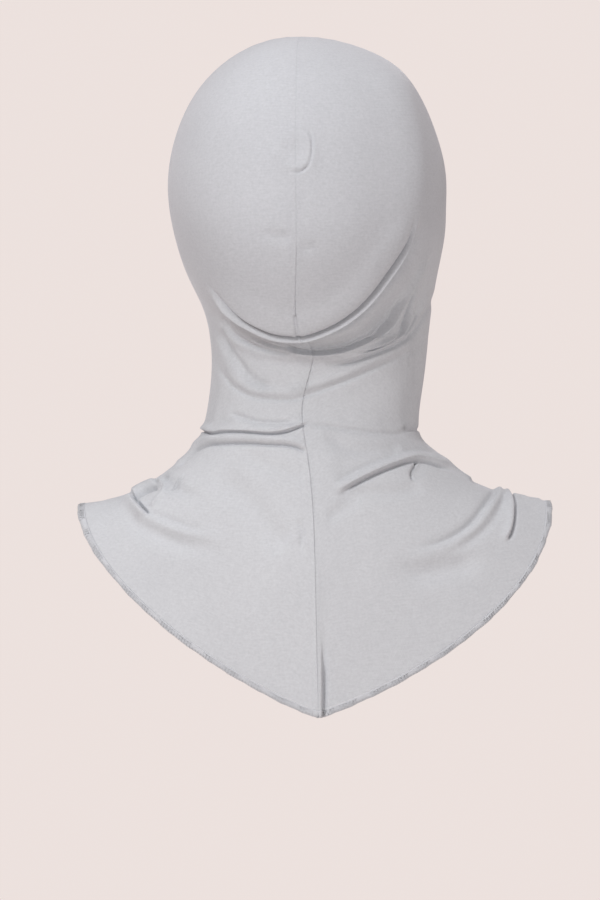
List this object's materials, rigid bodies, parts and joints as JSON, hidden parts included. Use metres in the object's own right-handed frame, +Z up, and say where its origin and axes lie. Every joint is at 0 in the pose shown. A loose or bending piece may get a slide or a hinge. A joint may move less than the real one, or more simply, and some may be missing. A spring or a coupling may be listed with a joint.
{
  "type": "hijab underscarf cap with neck tube and shoulder bib",
  "caption": "Close-fitting jersey hood with a face opening, a neck tube and a pointed shoulder bib, worn under a headscarf.",
  "frame": {"origin": "inside of the top of the crown, where the cloth rests on the head", "axes": "+Z up, -Y out of the face opening, +X to the wearer's left"},
  "size_m": [0.2976, 0.1903, 0.421],
  "materials": {
    "jersey": "soft viscose jersey, fine knit with a slight sheen",
    "jersey_band": "doubled viscose jersey",
    "seam_allowance": "jersey edges bound with thread",
    "overlock": "overlocked polyester thread over jersey"
  },
  "bodies": {
    "root": {"left_panel": "jersey", "right_panel": "jersey", "face_band": "jersey_band", "back_seam": "seam_allowance", "front_seam": "seam_allowance", "hem_overlock": "overlock"}
  },
  "joints": []
}
